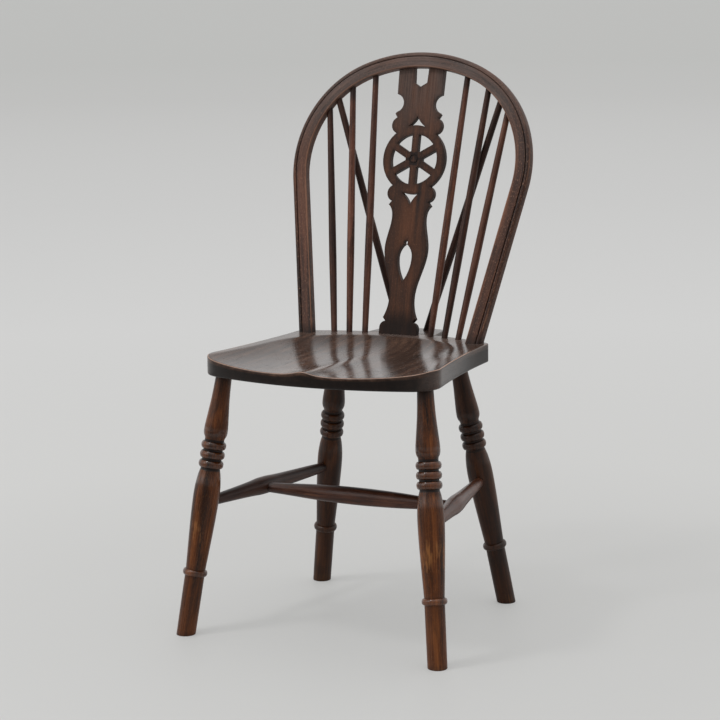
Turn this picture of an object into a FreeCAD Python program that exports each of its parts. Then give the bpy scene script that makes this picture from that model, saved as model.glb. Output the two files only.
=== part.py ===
"""Wheelback Windsor side chair with a bobtail and two bracing sticks.

X runs across the seat, the sitter faces -Y and Z is up. The origin lies on the
floor, below the middle of the chair. Every length is in millimetres.
"""
import FreeCAD
import Part
import math
import os

Vector = FreeCAD.Vector

# Seat
SEAT_HEIGHT = 440.0
SEAT_THICKNESS = 30.0
SEAT_FRONT_Y = -221.0
SEAT_REAR_Y = 134.0
SEAT_FRONT_CORNER = (202.0, -178.0)
SEAT_WAIST = (178.0, -20.0)
SEAT_REAR_CORNER = (171.0, 92.0)
SEAT_FRONT_RADIUS = 45.0
SEAT_REAR_RADIUS = 10.0

# Scoop of the seat: two hollows with a ridge between the thighs
SCOOP_DEPTH = 15.0
SCOOP_CENTRE_Y = -40.0
SCOOP_BACK_REACH = 137.0
SCOOP_FRONT_REACH = 350.0
SCOOP_HALF_WIDTH = 157.0
SCOOP_FLARE = 34.0
SCOOP_FLARE_REACH = 150.0
SCOOP_CORNER_POWER = 2.2
SCOOP_BOWL_POWER = 1.3
RIDGE_HEIGHT = 7.0
RIDGE_HALF_WIDTH = 24.0

# Bobtail behind the seat
TAIL_ROOT_HALF_WIDTH = 64.0
TAIL_END_HALF_WIDTH = 52.0
TAIL_END_Y = 188.0
TAIL_CORNER_RADIUS = 14.0
TAIL_TENON_HALF_WIDTH = 34.0
TAIL_TENON_THICKNESS = 10.0
TAIL_TENON_DROP = 4.0
TAIL_TENON_LENGTH = 24.0

# Legs: where they stand, and how far they move sideways for each millimetre up
FRONT_FOOT = (217.0, -212.5)
FRONT_SPLAY = (-0.11, 0.15)
BACK_FOOT = (170.2, 160.2)
BACK_SPLAY = (-0.1535, -0.13)
LEG_TENON_DEPTH = 15.0
LEG_TENON_RADIUS = 12.2
FOOT_CHAMFER = 1.5
BEAD_BANDS = 5

# Stretchers
STRETCHER_HEIGHT = 207.0
CROSS_POSITION = 0.45
CROSS_DROP = 2.5
STRETCHER_TENON_RADIUS = 7.6
STRETCHER_TENON_REACH = 24.0

# Bow
BOW_FOOT_Y = 74.0
BOW_RAKE = 17.3
BOW_LEAN = 10.4
BOW_WIDTH = 25.0
BOW_DEPTH = 21.5
BOW_HALF_SPAN = 198.5
BOW_RISE = 459.5
BOW_CROWN_RADIUS = 250.0
BOW_CROWN_HALF_ANGLE = 22.0
BOW_BEAD_WIDTH = 7.4
BOW_QUIRK_WIDTH = 1.8
BOW_QUIRK_DEPTH = 2.0
BOW_ARRIS = 1.4
BOW_BEAD_EASE = 3.4
BOW_BEAD_SETBACK = 0.4
BOW_BACK_ROUND = 7.0
BOW_TENON_RADIUS = 8.0

# Wedges in the ends of the bow, below the seat
WEDGE_WIDTH = 11.0
WEDGE_THICKNESS = 2.6
WEDGE_TIP_THICKNESS = 0.8
WEDGE_LENGTH = 17.0

# Splat; heights on it are measured up its slope from the seat
SPLAT_FOOT_Y = 112.0
SPLAT_RAKE = 13.7
SPLAT_THICKNESS = 10.0
SPLAT_TOP = 447.0
SPLAT_TENON_HALF_WIDTH = 22.0
SPLAT_TENON_DEPTH = 11.0
WHEEL_HEIGHT = 286.7
WHEEL_RADIUS = 55.0
WHEEL_HOLE_RADIUS = 41.0
HUB_RADIUS = 14.5
SPOKE_WIDTH = 11.5
SPOKE_COUNT = 6
ROUNDEL_RADIUS = 7.4
ROUNDEL_LINE = 1.4
ROUNDEL_DEPTH = 0.9
UPPER_SPANDREL = (357.5, 340.4)
LOWER_SPANDREL = (211.5, 232.0)
SPANDREL_HALF_WIDTH = 15.0
SPANDREL_SAG = 2.2
KEYHOLE_RADIUS = 3.3
KEYHOLE_HEIGHT = 150.6

# Sticks: foot on the seat (x, y) and top on the bow (x, height up the bow's slope)
BACK_STICKS = {
    "inner": ((58.8, 113.0), (82.2, 430.4)),
    "middle": ((85.3, 109.1), (121.3, 409.7)),
    "outer": ((111.2, 105.2), (159.0, 373.0)),
}
BRACE_STICK = ((24.5, 172.0), (144.6, 391.5))
STICK_END_RADIUS = 4.7
STICK_SWELL_RADIUS = 6.2
BRACE_END_RADIUS = 5.2
BRACE_SWELL_RADIUS = 6.2
STICK_SWELL_PLACE = 0.36
STICK_SEAT_TENON = 11.5
STICK_BOW_TENON = 9.0
STICK_COLLAR = 6.0

SEAT_UNDERSIDE = SEAT_HEIGHT - SEAT_THICKNESS
OVERCUT = 2.0
FAR = 1000.0


def line(start, end):
    return Part.LineSegment(Vector(*start), Vector(*end)).toShape()


def arc(start, middle, end):
    return Part.Arc(Vector(*start), Vector(*middle), Vector(*end)).toShape()


def smooth(points):
    curve = Part.BSplineCurve()
    curve.interpolate([Vector(*point) for point in points])
    return curve.toShape()


def polygon(points):
    corners = points[1:] + points[:1]
    return face_of([line(start, end) for start, end in zip(points, corners)])


def face_of(edges):
    return Part.Face(Part.Wire(Part.__sortEdges__(edges)))


def mirrored(shape):
    return shape.mirror(Vector(0, 0, 0), Vector(1, 0, 0))


def below(height):
    """A block that takes in everything under a level."""
    return Part.makeBox(2 * FAR, 2 * FAR, FAR, Vector(-FAR, -FAR, height - FAR))


class Turning:
    """Half outline of a turned piece, as stations along its axis and radii."""

    def __init__(self, station, radius):
        self.start = (0.0, 0.0, station)
        self.here = (radius, 0.0, station)
        self.edges = [line(self.start, self.here)]

    def straight(self, station, radius):
        there = (radius, 0.0, station)
        self.edges.append(line(self.here, there))
        self.here = there

    def tapers(self, *stations):
        """A run of tapers through (station, radius) pairs."""
        for station, radius in stations:
            self.straight(station, radius)

    def bead(self, width, rise):
        """A half-round ring, made of a few narrow bands."""
        radius, _, station = self.here
        for i in range(1, BEAD_BANDS + 1):
            turn = math.pi * i / BEAD_BANDS
            self.straight(station + width * (1 - math.cos(turn)) / 2, radius + rise * math.sin(turn))

    def solid(self):
        end = (0.0, 0.0, self.here[2])
        edges = self.edges + [line(self.here, end), line(end, self.start)]
        return face_of(edges).revolve(Vector(0, 0, 0), Vector(0, 0, 1), 360)


def aligned(shape, start, direction):
    """Stand a piece that was made along Z at a point, along a direction."""
    placed = shape.copy()
    placed.Placement = FreeCAD.Placement(start, FreeCAD.Rotation(Vector(0, 0, 1), direction))
    return placed


def leg_point(foot, splay, height):
    return Vector(foot[0] + splay[0] * height, foot[1] + splay[1] * height, height)


def make_leg(foot, splay):
    """A turned leg with a foot ring, two vases and three rings between them."""
    direction = Vector(splay[0], splay[1], 1.0)
    stretch = direction.Length
    shoulder = SEAT_UNDERSIDE * stretch
    outline = Turning(-10.0, 15.3)
    outline.straight(94.5, 15.3)
    outline.bead(10.0, 3.8)
    outline.tapers((150.0, 17.7), (188.0, 19.7), (222.0, 20.6), (243.0, 19.5), (256.0, 17.5), (263.5, 15.5))
    outline.straight(267.4, 15.5)
    for _ in range(3):
        outline.bead(11.6, 4.2)
        outline.straight(outline.here[2] + 3.4, 15.5)
    outline.tapers((317.0, 17.7), (325.5, 18.7), (334.0, 18.3), (354.0, 16.2), (376.0, 14.3))
    outline.straight(shoulder - 8.0, LEG_TENON_RADIUS)
    outline.straight(shoulder + LEG_TENON_DEPTH, LEG_TENON_RADIUS)
    leg = aligned(outline.solid(), leg_point(foot, splay, 0), direction)
    leg = leg.cut(below(0.0))
    sole = [edge for edge in leg.Edges if edge.BoundBox.ZMax < 0.01]
    return leg.makeChamfer(FOOT_CHAMFER, sole)


def make_side_stretcher(side):
    """A stretcher from front leg to back leg, swollen where the cross stretcher enters."""
    front = leg_point(FRONT_FOOT, FRONT_SPLAY, STRETCHER_HEIGHT)
    back = leg_point(BACK_FOOT, BACK_SPLAY, STRETCHER_HEIGHT)
    front.x *= side
    back.x *= side
    length = (back - front).Length
    bulge = CROSS_POSITION * length
    outline = Turning(0.0, STRETCHER_TENON_RADIUS)
    outline.straight(STRETCHER_TENON_REACH, STRETCHER_TENON_RADIUS)
    outline.tapers((bulge - 22.0, 13.0), (bulge, 14.0), (bulge + 22.0, 13.2))
    outline.straight(length - STRETCHER_TENON_REACH, STRETCHER_TENON_RADIUS)
    outline.straight(length, STRETCHER_TENON_RADIUS)
    joint = front + (back - front) * CROSS_POSITION - Vector(0, 0, CROSS_DROP)
    return aligned(outline.solid(), front, back - front), joint


def make_cross_stretcher(start, end):
    """A cigar-shaped stretcher between the two side stretchers."""
    length = (end - start).Length
    outline = Turning(0.0, STRETCHER_TENON_RADIUS)
    outline.straight(STRETCHER_TENON_REACH, STRETCHER_TENON_RADIUS)
    outline.tapers((length * 0.28, 12.5), (length * 0.5, 14.2), (length * 0.72, 12.5))
    outline.straight(length - STRETCHER_TENON_REACH, STRETCHER_TENON_RADIUS)
    outline.straight(length, STRETCHER_TENON_RADIUS)
    return aligned(outline.solid(), start, end - start)


def seat_plan():
    """Outline of the seat: bowed front, waisted sides, bowed rear."""
    fx, fy = SEAT_FRONT_CORNER
    wx, wy = SEAT_WAIST
    rx, ry = SEAT_REAR_CORNER
    z = SEAT_UNDERSIDE
    return face_of([
        arc((-fx, fy, z), (0, SEAT_FRONT_Y, z), (fx, fy, z)),
        arc((fx, fy, z), (wx, wy, z), (rx, ry, z)),
        arc((rx, ry, z), (0, SEAT_REAR_Y, z), (-rx, ry, z)),
        arc((-rx, ry, z), (-wx, wy, z), (-fx, fy, z)),
    ])


def seat_plank():
    plank = seat_plan().extrude(Vector(0, 0, SEAT_THICKNESS))
    corners = [edge for edge in plank.Edges if edge.BoundBox.ZLength > SEAT_THICKNESS / 2]
    front = [edge for edge in corners if edge.CenterOfMass.y < 0]
    plank = plank.makeFillet(SEAT_FRONT_RADIUS, front)
    corners = [edge for edge in plank.Edges if edge.BoundBox.ZLength > SEAT_THICKNESS / 2]
    rear = [edge for edge in corners if edge.CenterOfMass.y > SEAT_REAR_CORNER[1] - 1]
    return plank.makeFillet(SEAT_REAR_RADIUS, rear)


def scoop_height(x, y):
    """Height of the scooped surface, which rises above the plank outside the scoop."""
    flare = SCOOP_FLARE * (max(0.0, -y) / SCOOP_FLARE_REACH) ** 2
    reach = SCOOP_BACK_REACH if y > SCOOP_CENTRE_Y else SCOOP_FRONT_REACH
    across = abs(x) / (SCOOP_HALF_WIDTH + flare)
    along = abs(y - SCOOP_CENTRE_Y) / reach
    spread = across ** SCOOP_CORNER_POWER + along ** SCOOP_CORNER_POWER
    hollow = SCOOP_DEPTH * (1 - spread ** SCOOP_BOWL_POWER)
    back_y = SCOOP_CENTRE_Y + SCOOP_BACK_REACH
    fade = (max(0.0, back_y - y) / (back_y - SEAT_FRONT_Y)) ** 2
    ridge = RIDGE_HEIGHT * fade / (1 + (x / RIDGE_HALF_WIDTH) ** 2)
    return SEAT_HEIGHT - hollow + ridge


def scoop_cutter():
    """Everything above the scooped surface."""
    columns = 27
    rows = 21
    half_width = SEAT_FRONT_CORNER[0] + 12
    y_start = SEAT_FRONT_Y - 12
    y_end = SEAT_REAR_Y + 8
    grid = []
    for i in range(columns):
        x = half_width * (2 * i / (columns - 1) - 1)
        ys = [y_start + (y_end - y_start) * j / (rows - 1) for j in range(rows)]
        grid.append([Vector(x, y, scoop_height(x, y)) for y in ys])
    surface = Part.BSplineSurface()
    surface.interpolate(grid)
    return surface.toShape().extrude(Vector(0, 0, 100))


def make_seat():
    return seat_plank().cut(scoop_cutter())


def make_tail():
    """The bobtail, butted and tenoned to the rear edge of the seat."""
    root_y = SEAT_REAR_Y - 40
    plan = polygon([
        (-TAIL_ROOT_HALF_WIDTH, root_y, SEAT_UNDERSIDE),
        (TAIL_ROOT_HALF_WIDTH, root_y, SEAT_UNDERSIDE),
        (TAIL_END_HALF_WIDTH, TAIL_END_Y, SEAT_UNDERSIDE),
        (-TAIL_END_HALF_WIDTH, TAIL_END_Y, SEAT_UNDERSIDE),
    ])
    block = plan.extrude(Vector(0, 0, SEAT_THICKNESS))
    rear = [edge for edge in block.Edges
            if edge.BoundBox.ZLength > SEAT_THICKNESS / 2 and edge.CenterOfMass.y > TAIL_END_Y - 1]
    block = block.makeFillet(TAIL_CORNER_RADIUS, rear)
    block = block.cut(seat_plank())
    tenon_height = SEAT_HEIGHT - SEAT_THICKNESS / 2 - TAIL_TENON_DROP - TAIL_TENON_THICKNESS / 2
    tenon = Part.makeBox(2 * TAIL_TENON_HALF_WIDTH, TAIL_TENON_LENGTH + 8, TAIL_TENON_THICKNESS,
                         Vector(-TAIL_TENON_HALF_WIDTH, SEAT_REAR_Y - TAIL_TENON_LENGTH, tenon_height))
    return block.fuse(tenon).removeSplitter()


def bow_tilt(shape):
    """Lay a shape that was drawn upright in the XZ plane back into the bow's plane."""
    tilted = shape.copy()
    tilted.rotate(Vector(0, 0, 0), Vector(1, 0, 0), -BOW_RAKE)
    tilted.translate(Vector(0, BOW_FOOT_Y, SEAT_HEIGHT))
    return tilted


def on_bow(x, height, depth):
    """A point on the bow: across, up its slope, and back from its front face."""
    rake = math.radians(BOW_RAKE)
    return Vector(
        x,
        BOW_FOOT_Y + height * math.sin(rake) + depth * math.cos(rake),
        SEAT_HEIGHT + height * math.cos(rake) - depth * math.sin(rake))


def bow_section(centre_x, height):
    """Section of the bow: a flat face, a quirked bead along the outer edge and a round back."""
    half = BOW_WIDTH / 2
    inner = centre_x - half
    outer = centre_x + half
    quirk = outer - BOW_BEAD_WIDTH
    lip = BOW_QUIRK_WIDTH / 2
    shoulder = BOW_DEPTH - BOW_BACK_ROUND
    corners = [
        (inner, BOW_ARRIS),
        (inner + BOW_ARRIS, 0),
        (quirk - lip, 0),
        (quirk, BOW_QUIRK_DEPTH),
        (quirk + lip, BOW_BEAD_SETBACK),
        (outer - BOW_BEAD_EASE, BOW_BEAD_SETBACK),
        (outer, BOW_BEAD_EASE),
        (outer, shoulder),
    ]
    places = [(across, depth, height) for across, depth in corners]
    edges = [line(start, end) for start, end in zip(places, places[1:])]
    edges.append(arc((outer, shoulder, height), (centre_x, BOW_DEPTH, height), (inner, shoulder, height)))
    edges.append(line((inner, shoulder, height), places[0]))
    return face_of(edges)


def bow_arc(centre_x, centre_height, radius, start_angle, end_angle):
    """One bent stretch of the bow, angles counted from level, upwards."""
    centre = Vector(centre_x, 0, centre_height)
    section = bow_section(centre_x + radius, centre_height)
    section.rotate(centre, Vector(0, -1, 0), start_angle)
    return section.revolve(centre, Vector(0, -1, 0), end_angle - start_angle), section


def make_bow():
    """Straight legs, tight shoulders and a flatter crown, then round tenons through the seat."""
    crown_angle = 90 - BOW_CROWN_HALF_ANGLE
    turn = math.radians(crown_angle)
    crown_height = BOW_RISE - BOW_CROWN_RADIUS
    joint_x = BOW_CROWN_RADIUS * math.cos(turn)
    joint_height = crown_height + BOW_CROWN_RADIUS * math.sin(turn)
    shoulder = (BOW_HALF_SPAN - joint_x) / (1 - math.cos(turn))
    shoulder_x = joint_x - shoulder * math.cos(turn)
    shoulder_height = joint_height - shoulder * math.sin(turn)
    lean = math.radians(BOW_LEAN)
    crown, _ = bow_arc(0, crown_height, BOW_CROWN_RADIUS, crown_angle, 180 - crown_angle)
    bend, spring = bow_arc(shoulder_x, shoulder_height, shoulder, -BOW_LEAN, crown_angle)
    down = Vector(-math.sin(lean), 0, -math.cos(lean))
    leg_length = shoulder_height / math.cos(lean) - shoulder * math.tan(lean) + 30
    leg = spring.extrude(down * leg_length)
    half = bend.fuse(leg)
    bow = crown.multiFuse([half, mirrored(half)]).removeSplitter()
    bow = bow_tilt(bow).cut(below(SEAT_HEIGHT))
    foot_x = shoulder_x + shoulder / math.cos(lean) - shoulder_height * math.tan(lean)
    foot = on_bow(foot_x, 0, BOW_DEPTH / 2)
    rake = math.radians(BOW_RAKE)
    axis = Vector(down.x, down.z * math.sin(rake), down.z * math.cos(rake))
    start = foot + axis * ((foot.z - SEAT_HEIGHT) / -axis.z - 4)
    length = (SEAT_THICKNESS + 12) / -axis.z
    peg = Part.makeCylinder(BOW_TENON_RADIUS, length)
    peg = aligned(peg, start, axis).cut(below(SEAT_UNDERSIDE))
    return bow.multiFuse([peg, mirrored(peg)]).removeSplitter(), foot, axis


def make_wedge(foot, axis):
    """A thin wedge driven up into the end of the bow's tenon."""
    half = WEDGE_WIDTH / 2
    base = WEDGE_THICKNESS / 2
    tip = WEDGE_TIP_THICKNESS / 2
    profile = [(-half, -base, 0), (-half, base, 0), (-half, tip, WEDGE_LENGTH), (-half, -tip, WEDGE_LENGTH)]
    side = polygon(profile)
    wedge = side.extrude(Vector(WEDGE_WIDTH, 0, 0))
    head = foot + axis * ((foot.z - SEAT_UNDERSIDE) / -axis.z + 3)
    return aligned(wedge, head, axis * -1).cut(below(SEAT_UNDERSIDE))


def splat_outline():
    """Outline of the splat: forked top, notched neck, wheel, vase and spreading foot."""
    upper = math.radians(50)
    lower = math.radians(-52.5)
    wheel_top = (WHEEL_RADIUS * math.cos(upper), 0, WHEEL_HEIGHT + WHEEL_RADIUS * math.sin(upper))
    wheel_base = (WHEEL_RADIUS * math.cos(lower), 0, WHEEL_HEIGHT + WHEEL_RADIUS * math.sin(lower))
    half = [
        line((40.7, 0, SPLAT_TOP), (39.5, 0, 393)),
        arc((39.5, 0, 393), (27.0, 0, 378), (37.5, 0, 364)),
        line((37.5, 0, 364), (40.3, 0, 361)),
        line((40.3, 0, 361), (36.3, 0, 354.5)),
        arc((36.3, 0, 354.5), (44.5, 0, 343), wheel_top),
        arc(wheel_top, (WHEEL_RADIUS, 0, WHEEL_HEIGHT), wheel_base),
        arc(wheel_base, (41.5, 0, 229.5), (32.5, 0, 217.5)),
        line((32.5, 0, 217.5), (37.2, 0, 211.5)),
        smooth([(37.2, 0, 211.5), (31.0, 0, 203), (29.2, 0, 193), (32.0, 0, 171), (37.2, 0, 141),
                (32.2, 0, 111), (24.6, 0, 86), (21.0, 0, 66), (22.2, 0, 46), (29.0, 0, 27)]),
        line((29.0, 0, 27), (24.3, 0, 21.5)),
        arc((24.3, 0, 21.5), (31.0, 0, 17.8), (33.7, 0, 10)),
        line((33.7, 0, 10), (33.7, 0, -8)),
    ]
    ends = [line((-40.7, 0, SPLAT_TOP), (40.7, 0, SPLAT_TOP)), line((-33.7, 0, -8), (33.7, 0, -8))]
    return face_of(half + [mirrored(edge) for edge in half] + ends)


def through(face):
    """Cut right through the splat from just in front of it."""
    cutter = face.extrude(Vector(0, SPLAT_THICKNESS + 2 * OVERCUT, 0))
    cutter.translate(Vector(0, -OVERCUT, 0))
    return cutter


def fork_slot():
    top = SPLAT_TOP + 1
    return polygon([(-13.5, 0, top), (-11.5, 0, 412.5), (0, 0, 405.5), (11.5, 0, 412.5), (13.5, 0, top)])


def spandrel(heights, sag):
    """A three-cornered hole whose base follows the rim and whose sides are hollow."""
    point_height, base_height = heights
    left = (-SPANDREL_HALF_WIDTH, 0, base_height)
    right = (SPANDREL_HALF_WIDTH, 0, base_height)
    point = (0, 0, point_height)
    hollow = (SPANDREL_HALF_WIDTH * 0.40, 0, base_height + (point_height - base_height) * 0.46)
    return face_of([
        arc(left, (0, 0, base_height + sag), right),
        arc(right, hollow, point),
        arc(point, (-hollow[0], 0, hollow[2]), left),
    ])


def almond():
    """A leaf-shaped opening."""
    right = [
        arc((0, 0, 149), (9.0, 0, 140), (12.6, 0, 127)),
        arc((12.6, 0, 127), (9.4, 0, 106), (0, 0, 87)),
    ]
    return face_of(right + [mirrored(edge) for edge in right])


def wheel_openings():
    """The six openings between the spokes."""
    depth = SPLAT_THICKNESS + 2 * OVERCUT
    centre = Vector(0, -OVERCUT, WHEEL_HEIGHT)
    across = Vector(0, 1, 0)
    ring = Part.makeCylinder(WHEEL_HOLE_RADIUS, depth, centre, across)
    ring = ring.cut(Part.makeCylinder(HUB_RADIUS, depth, centre, across))
    for i in range(SPOKE_COUNT // 2):
        bar = Part.makeBox(SPOKE_WIDTH, depth + 2, 2 * WHEEL_RADIUS,
                           Vector(-SPOKE_WIDTH / 2, -3, WHEEL_HEIGHT - WHEEL_RADIUS))
        bar.rotate(centre, across, i * 360 / SPOKE_COUNT)
        ring = ring.cut(bar)
    return ring


def roundel():
    """A circle scribed on the hub."""
    centre = Vector(0, -1, WHEEL_HEIGHT)
    across = Vector(0, 1, 0)
    disc = Part.makeCylinder(ROUNDEL_RADIUS, 1 + ROUNDEL_DEPTH, centre, across)
    return disc.cut(Part.makeCylinder(ROUNDEL_RADIUS - ROUNDEL_LINE, 1 + ROUNDEL_DEPTH, centre, across))


def make_splat():
    """A fretted board, leaned back, with a tenon in the seat and two prongs in the bow."""
    board = splat_outline().extrude(Vector(0, SPLAT_THICKNESS, 0))
    keyhole = Part.makeCylinder(KEYHOLE_RADIUS, SPLAT_THICKNESS + 2 * OVERCUT,
                                Vector(0, -OVERCUT, KEYHOLE_HEIGHT), Vector(0, 1, 0))
    cutters = [
        through(fork_slot()),
        through(spandrel(UPPER_SPANDREL, SPANDREL_SAG)),
        through(spandrel(LOWER_SPANDREL, -SPANDREL_SAG)),
        through(almond()),
        keyhole,
        wheel_openings(),
        roundel(),
    ]
    board = board.cut(cutters)
    tenon = Part.makeBox(2 * SPLAT_TENON_HALF_WIDTH, SPLAT_THICKNESS, SPLAT_TENON_DEPTH + 8,
                         Vector(-SPLAT_TENON_HALF_WIDTH, 0, -SPLAT_TENON_DEPTH))
    leaned = []
    for shape in (board, tenon):
        shape.rotate(Vector(0, 0, 0), Vector(1, 0, 0), -SPLAT_RAKE)
        shape.translate(Vector(0, SPLAT_FOOT_Y, SEAT_HEIGHT))
        leaned.append(shape)
    return leaned[0].cut(below(SEAT_HEIGHT)).fuse(leaned[1]).removeSplitter()


def make_stick(side, foot, top, end_radius, swell_radius):
    """A slender stick from the seat to the bow, fattest a third of the way up."""
    start = Vector(side * foot[0], foot[1], SEAT_HEIGHT)
    end = on_bow(side * top[0], top[1], BOW_DEPTH / 2)
    length = (end - start).Length
    outline = Turning(-STICK_SEAT_TENON, end_radius)
    outline.straight(STICK_COLLAR, end_radius)
    outline.straight(length * STICK_SWELL_PLACE, swell_radius)
    outline.straight(length - STICK_COLLAR - BOW_WIDTH / 2, end_radius)
    outline.straight(length + STICK_BOW_TENON, end_radius)
    return aligned(outline.solid(), start, end - start)


def light(slender):
    """The same solid with surfaces that mesh into far fewer triangles on long thin tapers."""
    return slender.toNurbs()


def build():
    """Make every piece, then cut each socket with the piece that sits in it."""
    sides = {"left": -1, "right": 1}
    legs = {}
    for name, side in sides.items():
        front = make_leg(FRONT_FOOT, FRONT_SPLAY)
        back = make_leg(BACK_FOOT, BACK_SPLAY)
        legs["leg_front_" + name] = front if side > 0 else mirrored(front)
        legs["leg_back_" + name] = back if side > 0 else mirrored(back)

    stretchers = {}
    joints = {}
    for name, side in sides.items():
        stretchers["side_stretcher_" + name], joints[name] = make_side_stretcher(side)
    cross = make_cross_stretcher(joints["left"], joints["right"])

    sticks = {}
    braces = {}
    for name, side in sides.items():
        for place, (foot, top) in BACK_STICKS.items():
            sticks["back_stick_%s_%s" % (name, place)] = make_stick(
                side, foot, top, STICK_END_RADIUS, STICK_SWELL_RADIUS)
        braces["brace_stick_" + name] = make_stick(
            side, BRACE_STICK[0], BRACE_STICK[1], BRACE_END_RADIUS, BRACE_SWELL_RADIUS)

    splat = make_splat()
    bow, foot, axis = make_bow()
    wedge = make_wedge(foot, axis)
    wedges = {"bow_wedge_right": wedge, "bow_wedge_left": mirrored(wedge)}
    tail = make_tail()
    seat = make_seat()

    seat = seat.cut([tail, splat, bow] + list(legs.values()) + list(sticks.values()))
    tail = tail.cut(list(braces.values()))
    bow = bow.cut([splat] + list(sticks.values()) + list(braces.values()) + list(wedges.values()))
    for name, side in sides.items():
        rail = stretchers["side_stretcher_" + name]
        for end in ("front", "back"):
            key = "leg_%s_%s" % (end, name)
            legs[key] = legs[key].cut(rail)
        stretchers["side_stretcher_" + name] = rail.cut(cross)

    pieces = {"seat": seat, "tail_block": tail, "bow": bow, "splat": splat, "cross_stretcher": cross}
    for group in (legs, stretchers, wedges):
        pieces.update(group)
    for group in (sticks, braces):
        pieces.update({name: light(stick) for name, stick in group.items()})
    return pieces


os.makedirs("parts", exist_ok=True)
for piece_name, piece in build().items():
    solid = piece.Solids[0]
    print(piece_name, len(piece.Solids), round(solid.Volume / 1000, 1), "cm3", solid.isValid())
    solid.exportStep("parts/%s.step" % piece_name)
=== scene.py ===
import math
import random
import bmesh
import bpy
from mathutils import Matrix, Vector
from mathutils.kdtree import KDTree


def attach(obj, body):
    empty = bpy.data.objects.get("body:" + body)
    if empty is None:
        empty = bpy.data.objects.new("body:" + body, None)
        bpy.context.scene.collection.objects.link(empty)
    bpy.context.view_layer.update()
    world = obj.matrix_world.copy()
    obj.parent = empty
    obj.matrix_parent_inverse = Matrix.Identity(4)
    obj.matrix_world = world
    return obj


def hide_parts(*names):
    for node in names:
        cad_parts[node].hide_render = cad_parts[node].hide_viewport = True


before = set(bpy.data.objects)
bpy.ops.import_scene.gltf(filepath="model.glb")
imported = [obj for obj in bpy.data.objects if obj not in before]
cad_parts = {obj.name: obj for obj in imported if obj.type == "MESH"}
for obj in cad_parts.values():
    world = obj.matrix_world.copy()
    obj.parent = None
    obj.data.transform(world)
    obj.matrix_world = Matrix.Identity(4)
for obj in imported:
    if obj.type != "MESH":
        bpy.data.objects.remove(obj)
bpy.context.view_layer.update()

# A wheelback chair. Pieces are modelled in millimetres, in the frame's axes: X across,
# -Y to the front, Z up; each is brought to metres when it is finished.
MM = 0.001
SIDES = {"left": -1, "right": 1}

# The seat's plank, its corners and its eased arrises.
SEAT_TOP = 440.0
SEAT_UNDER = 410.0
SEAT_FRONT_Y = -221.0
SEAT_REAR_Y = 134.0
FRONT_CORNER = (202.0, -178.0)
WAIST = (178.0, -20.0)
REAR_CORNER = (171.0, 92.0)
FRONT_CORNER_RADIUS = 45.0
REAR_CORNER_RADIUS = 10.0
UPPER_ARRIS = 2.4
LOWER_ARRIS = 3.2
# The edge is built in rings up to this far in, and the faces within are filled.
EDGE_BAND = 8.5
SEAT_POINTS = 256

# The saddle: two hollows, wider to the front, and the ridge between them.
SADDLE_DEPTH = 15.0
SADDLE_MIDDLE_Y = -40.0
SADDLE_REAR_Y = 97.0
SADDLE_FRONT_REACH = 350.0
SADDLE_HALF_WIDTH = 157.0
SADDLE_FLARE = 34.0
FLARE_RUN = 150.0
RIDGE_HEIGHT = 7.0
RIDGE_HALF_WIDTH = 19.0
RIM_SOFTNESS = 1.0

# The bow: a round crown and two tighter shoulders on legs that lean in to the seat.
BOW_FOOT_Y = 74.0
BOW_RAKE = math.radians(17.3)
BOW_LEAN = math.radians(10.4)
BOW_WIDTH = 25.0
BOW_DEPTH = 21.5
BOW_HALF_SPAN = 198.5
BOW_RISE = 459.5
CROWN_RADIUS = 250.0
CROWN_ANGLE = math.radians(68.0)
CROWN_STEPS = 32
SHOULDER_STEPS = 44
BOW_LEG_STEPS = 24

# The bow's moulding, as (across, back from the face): the quirk about its middle and
# the bead from the outer edge, with the rise of the round back.
INNER_ARRIS = 1.6
QUIRK_INSET = 7.4
QUIRK = ((-1.5, 0.0), (-0.95, 0.12), (-0.45, 1.7), (0.0, 2.1), (0.45, 1.6), (1.0, 0.45), (1.9, 0.12))
BOW_BEAD = ((-3.4, 0.15), (-1.9, 0.95), (-0.75, 2.5), (-0.1, 4.8))
BACK_ROUND = 7.0

# The splat: a thin raked board. Heights are up its face from the seat.
SPLAT_FOOT_Y = 112.0
SPLAT_RAKE = math.radians(13.7)
SPLAT_HALF_WIDTH = 52.5
SPLAT_THICKNESS = 10.0
WHEEL_HEIGHT = 286.7
HUB_LINE = (5.4, 7.9)

# Legs: the foot's place on the floor, and the move outwards and back with each millimetre up.
LEGS = {
    "front": ((217.0, -212.5), (-0.11, 0.15)),
    "back": ((170.2, 160.2), (-0.1535, -0.13)),
}
# A leg's outline, as (place along it, radius), its ring and beads as (width, rise), and
# about where their middles are.
LEG_FOOT = ((40.0, 15.2), (94.5, 15.4))
LEG_VASE = ((130.0, 16.8), (160.0, 18.4), (190.0, 19.8), (222.0, 20.5), (243.0, 19.4),
            (255.0, 17.6), (262.0, 15.9), (264.2, 15.2))
LEG_TAPER = ((313.6, 15.6), (317.5, 17.6), (323.5, 18.7), (331.0, 18.4), (350.0, 16.6), (376.0, 14.2))
FOOT_RING = (10.0, 3.9)
BEAD = (11.9, 4.3)
BEAD_GAP = 2.9
FOOT_RING_MIDDLE = 99.5
BEAD_MIDDLES = (272.3, 287.1, 301.9)

# Stretchers. The cross stretcher enters the side ones at their swelling.
STRETCHER_HEIGHT = 207.0
CROSS_POSITION = 0.45
CROSS_DROP = 2.5
STRETCHER_END = 7.5
SIDE_SWELLING = ((-26.0, 12.7), (-14.0, 13.8), (0.0, 14.1), (14.0, 13.8), (26.0, 12.9))

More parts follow.
